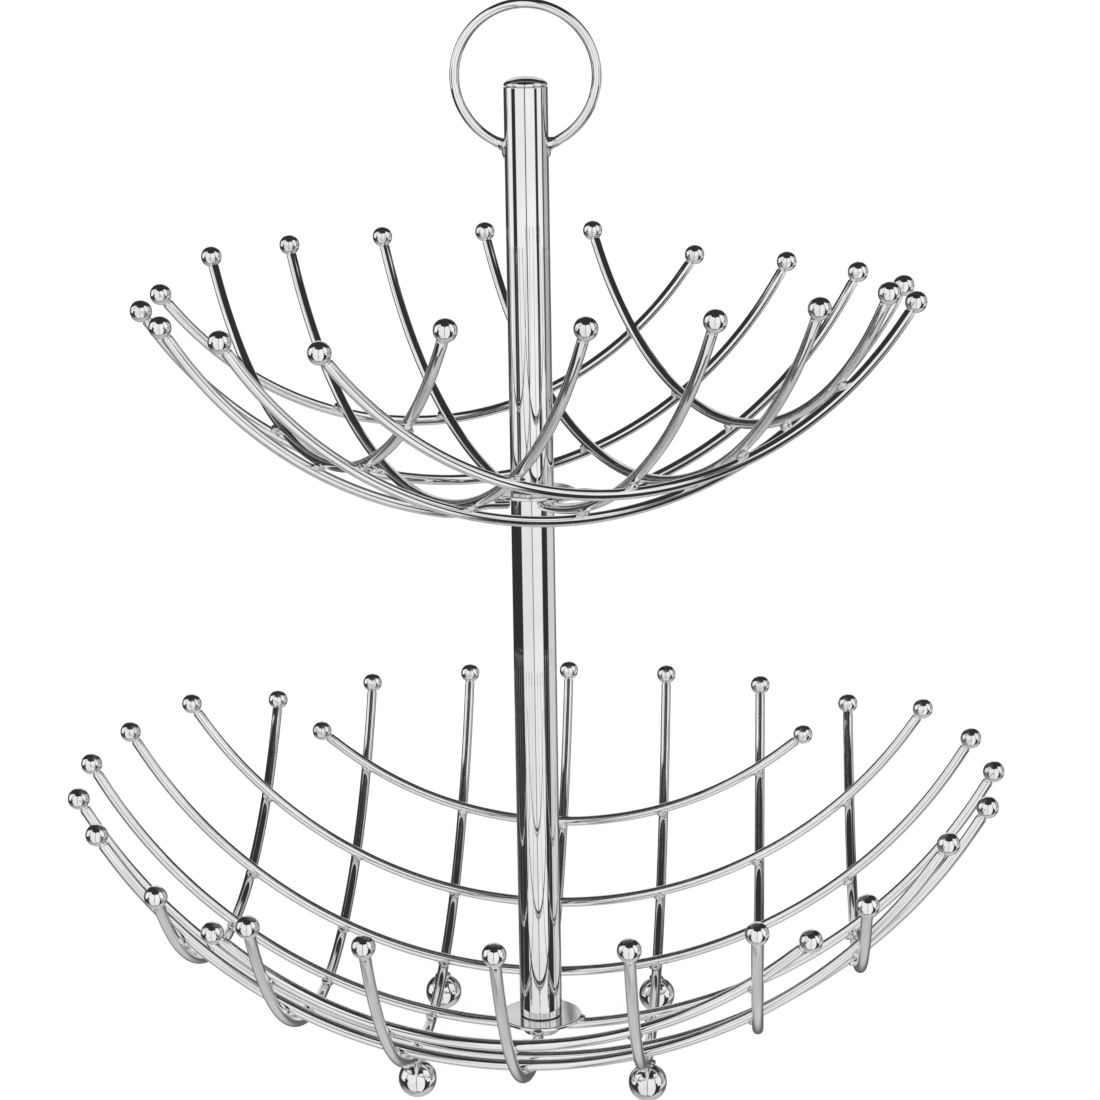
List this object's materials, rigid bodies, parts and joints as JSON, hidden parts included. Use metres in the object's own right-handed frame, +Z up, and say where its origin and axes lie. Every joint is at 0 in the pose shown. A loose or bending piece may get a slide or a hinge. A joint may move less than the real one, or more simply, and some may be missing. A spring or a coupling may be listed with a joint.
{
  "type": "two-tier wire fruit stand",
  "caption": "Free-standing chromed wire stand: two round wire bowls on a tube stem with a ring handle on top, for fruit or small kitchen things.",
  "frame": {"origin": "on the floor, on the axis of the stem", "axes": "+Z up the stem; X lies along the lower bowl's cross wires and in the plane of the ring handle; -Y is the front"},
  "size_m": [0.348, 0.348, 0.3979],
  "materials": {
    "wire_chrome": "bright chrome plate on drawn steel wire",
    "foot_chrome": "bright chrome plate on steel balls",
    "disc_chrome": "bright chrome plate on pressed steel discs",
    "tube_chrome": "bright chrome plate on steel tube",
    "cap_chrome": "bright chrome plate",
    "handle_chrome": "bright chrome plate on bent steel wire",
    "bolt_steel": "zinc-plated steel",
    "fitting_steel": "plain turned steel"
  },
  "bodies": {
    "base": {"lower_cross_wire_1": "wire_chrome", "lower_cross_wire_2": "wire_chrome", "lower_cross_wire_3": "wire_chrome", "lower_cross_wire_4_left": "wire_chrome", "lower_cross_wire_4_right": "wire_chrome", "lower_cross_wire_5": "wire_chrome", "lower_cross_wire_6": "wire_chrome", "lower_cross_wire_7": "wire_chrome", "lower_long_wire_1": "wire_chrome", "lower_long_wire_2": "wire_chrome", "lower_long_wire_3": "wire_chrome", "lower_long_wire_4_back": "wire_chrome", "lower_long_wire_4_front": "wire_chrome", "lower_long_wire_5": "wire_chrome", "lower_long_wire_6": "wire_chrome", "lower_long_wire_7": "wire_chrome", "foot_front_left": "foot_chrome", "foot_front_right": "foot_chrome", "foot_back_left": "foot_chrome", "foot_back_right": "foot_chrome", "lower_disc": "disc_chrome", "base_bolt": "bolt_steel", "lower_tube": "tube_chrome", "lower_tube_bottom_plug": "fitting_steel", "lower_tube_top_plug": "fitting_steel"},
    "upper_bowl": {"upper_cross_wire_1": "wire_chrome", "upper_cross_wire_2": "wire_chrome", "upper_cross_wire_3_left": "wire_chrome", "upper_cross_wire_3_right": "wire_chrome", "upper_cross_wire_4": "wire_chrome", "upper_cross_wire_5": "wire_chrome", "upper_long_wire_1": "wire_chrome", "upper_long_wire_2": "wire_chrome", "upper_long_wire_3_back": "wire_chrome", "upper_long_wire_3_front": "wire_chrome", "upper_long_wire_4": "wire_chrome", "upper_long_wire_5": "wire_chrome", "upper_disc": "disc_chrome"},
    "stud": {"joining_stud": "fitting_steel"},
    "upper_stem": {"upper_tube": "tube_chrome", "upper_tube_plug": "fitting_steel", "top_cap": "cap_chrome", "ring_handle": "handle_chrome"}
  },
  "joints": [
    {"name": "upper_bowl_swivel", "type": "hinge", "parent": "base", "child": "upper_bowl", "pos_m": [0, 0, 0.22], "axis": [0, 0, 1], "continuous": true},
    {"name": "stud_turn", "type": "hinge", "parent": "base", "child": "stud", "pos_m": [0, 0, 0.22], "axis": [0, 0, 1], "range_deg": [0, 2880]},
    {"name": "stem_rise", "type": "slide", "parent": "stud", "child": "upper_stem", "axis": [0, 0, 1], "range_m": [0, 0.01]}
  ],
  "couplings": [
    {"joint": "stud_turn", "follows": "stem_rise", "rad_per_m": 5026.5}
  ]
}
